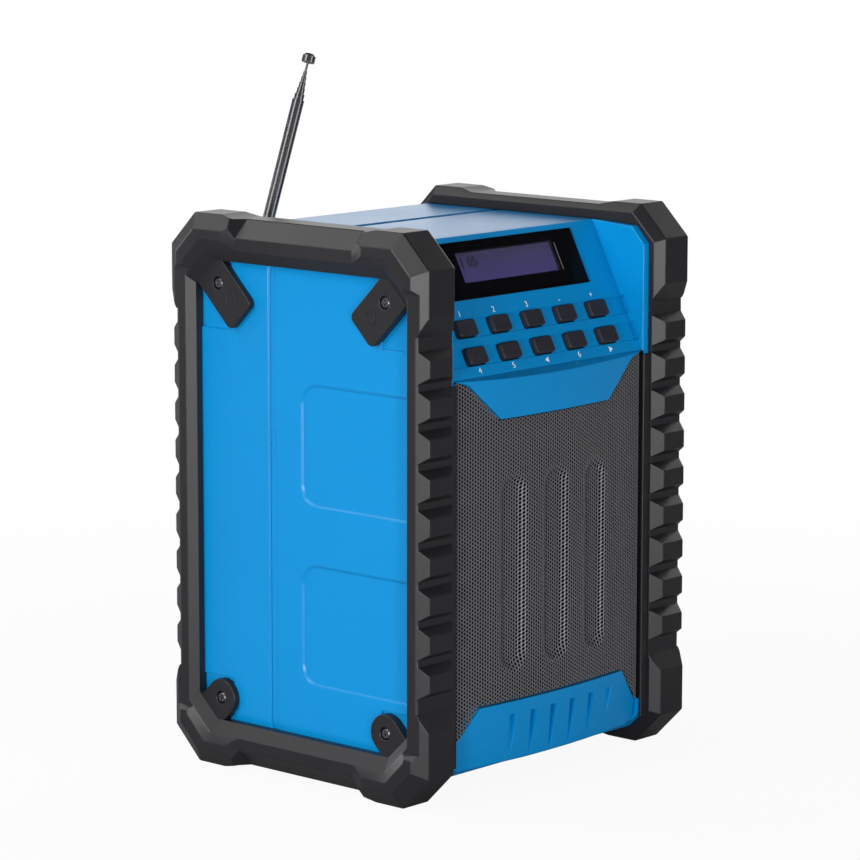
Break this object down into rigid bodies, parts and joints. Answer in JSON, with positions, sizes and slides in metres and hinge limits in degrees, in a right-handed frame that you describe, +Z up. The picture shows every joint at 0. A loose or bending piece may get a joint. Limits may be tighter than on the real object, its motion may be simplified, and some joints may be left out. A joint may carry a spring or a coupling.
{
  "type": "jobsite radio",
  "caption": "Portable jobsite radio with side bumper frames, a perforated speaker grille, a leaning panel with display and keys, and a telescopic rear antenna.",
  "frame": {"origin": "middle of the footprint, on the surface the radio stands on", "axes": "+Z up, the front with grille and keys looks along -Y, +X to the right seen from the front"},
  "size_m": [0.174, 0.145, 0.2968],
  "materials": {
    "blue_housing": "fine satin moulded plastic",
    "bumper_rubber": "soft matte rubber",
    "grille_steel": "dark satin powder coat, finely perforated",
    "key_rubber": "matte silicone rubber",
    "window_plastic": "polished dark lens",
    "display_glass": "lit liquid crystal panel",
    "black_plastic": "matte moulded plastic",
    "circuit_board": "satin solder resist",
    "screw_steel": "dark zinc plating",
    "tinned_steel": "tinned sheet",
    "dark_chrome": "dark polished chrome",
    "magnet_iron": "ferrite, matte",
    "speaker_paper": "pressed paper",
    "capacitor_sleeve": "shrink sleeve",
    "cell_sleeve": "shrink sleeve"
  },
  "bodies": {
    "radio": {"front_housing": "blue_housing", "control_panel": "blue_housing", "rear_housing": "blue_housing", "apron": "blue_housing", "chin": "blue_housing", "bumper_left": "bumper_rubber", "bumper_right": "bumper_rubber", "bumper_screws_left": "screw_steel", "bumper_screws_right": "screw_steel", "housing_screws": "screw_steel", "grille": "grille_steel", "display_window": "window_plastic", "display_frame": "black_plastic", "display_panel": "display_glass", "key_board": "circuit_board", "key_switches": "black_plastic", "key_board_screws": "screw_steel", "speaker_basket": "tinned_steel", "speaker_magnet": "magnet_iron", "speaker_surround": "key_rubber", "speaker_cone": "speaker_paper", "speaker_dust_cap": "speaker_paper", "speaker_screws": "screw_steel", "main_board": "circuit_board", "tuner_can": "tinned_steel", "board_capacitors": "capacitor_sleeve", "main_board_screws": "screw_steel", "battery_tray": "black_plastic", "battery_cells": "cell_sleeve", "power_socket": "black_plastic", "audio_socket": "black_plastic"},
    "swivel": {"antenna_swivel": "black_plastic", "antenna_nut": "tinned_steel", "antenna_pin": "tinned_steel"},
    "mast": {"antenna_mast": "dark_chrome"},
    "flap": {"socket_flap": "key_rubber"},
    "section_1": {"antenna_section_1": "dark_chrome"},
    "section_2": {"antenna_section_2": "dark_chrome"},
    "section_3": {"antenna_section_3": "dark_chrome"},
    "section_4": {"antenna_section_4": "dark_chrome"},
    "section_5": {"antenna_section_5": "dark_chrome"},
    "key_power": {"button_power": "key_rubber"},
    "key_mode": {"button_mode": "key_rubber"},
    "key_info": {"button_info": "key_rubber"},
    "key_volume_down": {"button_volume_down": "key_rubber"},
    "key_volume_up": {"button_volume_up": "key_rubber"},
    "key_preset": {"button_preset": "key_rubber"},
    "key_scan": {"button_scan": "key_rubber"},
    "key_previous": {"button_previous": "key_rubber"},
    "key_select": {"button_select": "key_rubber"},
    "key_next": {"button_next": "key_rubber"}
  },
  "joints": [
    {"name": "antenna_swivel", "type": "hinge", "parent": "radio", "child": "swivel", "pos_m": [-0.0357, 0.0693, 0.206], "axis": [0, 1, 0], "range_deg": [-55, 69.3]},
    {"name": "antenna_tilt", "type": "hinge", "parent": "swivel", "child": "mast", "pos_m": [-0.03234, 0.0693, 0.21489], "axis": [-0.9354, 0, 0.3535], "range_deg": [0, 90]},
    {"name": "antenna_draw_1", "type": "slide", "parent": "mast", "child": "section_1", "axis": [0.3535, 0, 0.9354], "range_m": [0, 0.056]},
    {"name": "antenna_draw_2", "type": "slide", "parent": "section_1", "child": "section_2", "axis": [0.3535, 0, 0.9354], "range_m": [0, 0.056]},
    {"name": "antenna_draw_3", "type": "slide", "parent": "section_2", "child": "section_3", "axis": [0.3535, 0, 0.9354], "range_m": [0, 0.056]},
    {"name": "antenna_draw_4", "type": "slide", "parent": "section_3", "child": "section_4", "axis": [0.3535, 0, 0.9354], "range_m": [0, 0.056]},
    {"name": "antenna_draw_5", "type": "slide", "parent": "section_4", "child": "section_5", "axis": [0.3535, 0, 0.9354], "range_m": [0, 0.056]},
    {"name": "socket_flap_hinge", "type": "hinge", "parent": "radio", "child": "flap", "pos_m": [0.038, 0.0651, 0.0556], "axis": [1, 0, 0], "range_deg": [0, 110]},
    {"name": "key_power_press", "type": "slide", "parent": "radio", "child": "key_power", "axis": [0, 0.8902, -0.4555], "range_m": [0, 0.001], "stiffness_N_per_m": 300},
    {"name": "key_mode_press", "type": "slide", "parent": "radio", "child": "key_mode", "axis": [0, 0.8902, -0.4555], "range_m": [0, 0.001], "stiffness_N_per_m": 300},
    {"name": "key_info_press", "type": "slide", "parent": "radio", "child": "key_info", "axis": [0, 0.8902, -0.4555], "range_m": [0, 0.001], "stiffness_N_per_m": 300},
    {"name": "key_volume_down_press", "type": "slide", "parent": "radio", "child": "key_volume_down", "axis": [0, 0.8902, -0.4555], "range_m": [0, 0.001], "stiffness_N_per_m": 300},
    {"name": "key_volume_up_press", "type": "slide", "parent": "radio", "child": "key_volume_up", "axis": [0, 0.8902, -0.4555], "range_m": [0, 0.001], "stiffness_N_per_m": 300},
    {"name": "key_preset_press", "type": "slide", "parent": "radio", "child": "key_preset", "axis": [0, 0.8902, -0.4555], "range_m": [0, 0.001], "stiffness_N_per_m": 300},
    {"name": "key_scan_press", "type": "slide", "parent": "radio", "child": "key_scan", "axis": [0, 0.8902, -0.4555], "range_m": [0, 0.001], "stiffness_N_per_m": 300},
    {"name": "key_previous_press", "type": "slide", "parent": "radio", "child": "key_previous", "axis": [0, 0.8902, -0.4555], "range_m": [0, 0.001], "stiffness_N_per_m": 300},
    {"name": "key_select_press", "type": "slide", "parent": "radio", "child": "key_select", "axis": [0, 0.8902, -0.4555], "range_m": [0, 0.001], "stiffness_N_per_m": 300},
    {"name": "key_next_press", "type": "slide", "parent": "radio", "child": "key_next", "axis": [0, 0.8902, -0.4555], "range_m": [0, 0.001], "stiffness_N_per_m": 300}
  ]
}
